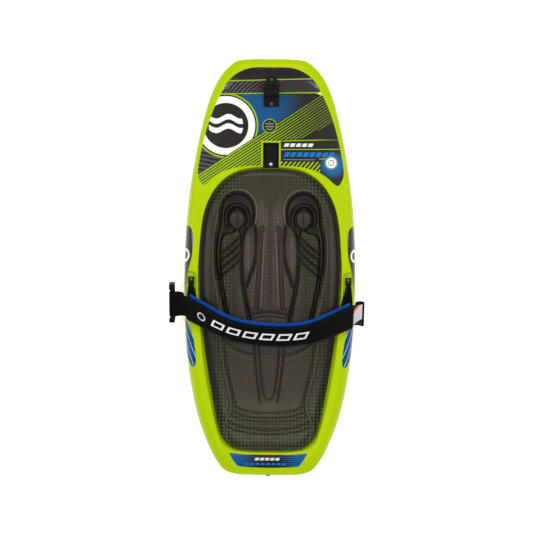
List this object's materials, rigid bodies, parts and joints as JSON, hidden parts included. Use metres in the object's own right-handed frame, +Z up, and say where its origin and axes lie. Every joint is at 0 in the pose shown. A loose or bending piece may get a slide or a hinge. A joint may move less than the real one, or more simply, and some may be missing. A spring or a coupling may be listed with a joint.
{
  "type": "kneeboard",
  "caption": "Towed kneeboard with a moulded kneeling pad, padded knee strap, tow-handle hook and fins lowered through the hull by a deck dial.",
  "frame": {"origin": "on the flat of the hull, at the middle of the board's length and width", "axes": "+X to the rider's right, +Y to the nose, +Z up out of the deck"},
  "size_m": [0.5907, 1.2724, 0.2321],
  "materials": {
    "lime_shell": "moulded polyethylene, satin gloss",
    "core_foam": "rigid foam",
    "pad_foam": "moulded EVA foam, matt",
    "black_film": "printed film",
    "blue_film": "printed film",
    "black_nylon": "fine moulded grain",
    "stainless": "turned",
    "insert_brass": "turned",
    "seal_rubber": "matt",
    "webbing": "woven",
    "neoprene": "knitted face",
    "liner_foam": "knitted face",
    "tag_cloth": "woven"
  },
  "bodies": {
    "board": {"shell": "lime_shell", "foam_core": "core_foam", "knee_pad": "pad_foam", "nose_graphic": "black_film", "tail_graphic": "black_film", "front_graphic_left": "black_film", "front_graphic_right": "black_film", "rear_graphic_left": "blue_film", "rear_graphic_right": "blue_film", "tow_hook": "black_nylon", "dial_tray": "black_nylon", "gear_case_floor": "black_nylon", "cover_strip": "black_nylon", "rod_conduit": "black_nylon", "fin_box": "black_nylon", "fin_plate": "black_nylon", "anchor_bracket_left": "black_nylon", "anchor_bracket_right": "black_nylon", "hook_screw_front": "stainless", "hook_screw_rear": "stainless", "cover_screw": "stainless", "anchor_screw_left": "stainless", "anchor_screw_right": "stainless", "anchor_pin_left": "stainless", "anchor_pin_right": "stainless", "plate_screw_1": "stainless", "plate_screw_2": "stainless", "plate_screw_3": "stainless", "plate_screw_4": "stainless", "plate_screw_5": "stainless", "plate_screw_6": "stainless", "hook_insert_front": "insert_brass", "hook_insert_rear": "insert_brass", "anchor_insert_left": "insert_brass", "anchor_insert_right": "insert_brass", "fill_plug": "seal_rubber", "shaft_seal": "seal_rubber"},
    "dial_body": {"dial": "black_nylon", "dial_shaft": "black_nylon", "shaft_clip": "stainless"},
    "rod_body": {"fin_rod": "black_nylon"},
    "fins": {"fin_left": "black_nylon", "fin_right": "black_nylon", "fin_pin_front": "stainless", "fin_pin_rear": "stainless"},
    "strap": {"strap_link_left": "black_nylon", "strap_link_right": "black_nylon", "side_web_left": "webbing", "side_web_right": "webbing", "strap_webbing": "webbing", "strap_cover": "neoprene", "strap_liner": "liner_foam", "strap_tag": "tag_cloth"},
    "ring": {"buckle_ring": "black_nylon"}
  },
  "joints": [
    {"name": "dial_turn", "type": "hinge", "parent": "board", "child": "dial_body", "pos_m": [0, 0.362, 0.095], "axis": [0, 0, 1], "range_deg": [0, 180]},
    {"name": "rod_slide", "type": "slide", "parent": "board", "child": "rod_body", "axis": [0, 1, 0], "range_m": [0, 0.0354]},
    {"name": "fin_drop", "type": "slide", "parent": "board", "child": "fins", "axis": [0, 0, -1], "range_m": [0, 0.03]},
    {"name": "strap_swing", "type": "hinge", "parent": "board", "child": "strap", "pos_m": [0, -0.046, 0.092], "axis": [-1, 0, 0], "range_deg": [0, 75]},
    {"name": "ring_swing", "type": "hinge", "parent": "strap", "child": "ring", "pos_m": [-0.296, -0.10921, 0.11168], "axis": [0, 0.9659, 0.2588], "range_deg": [-17, 17]}
  ],
  "couplings": [
    {"joint": "dial_turn", "follows": "fin_drop", "rad_per_m": 104.71},
    {"joint": "rod_slide", "follows": "fin_drop", "ratio": 1.1781}
  ]
}
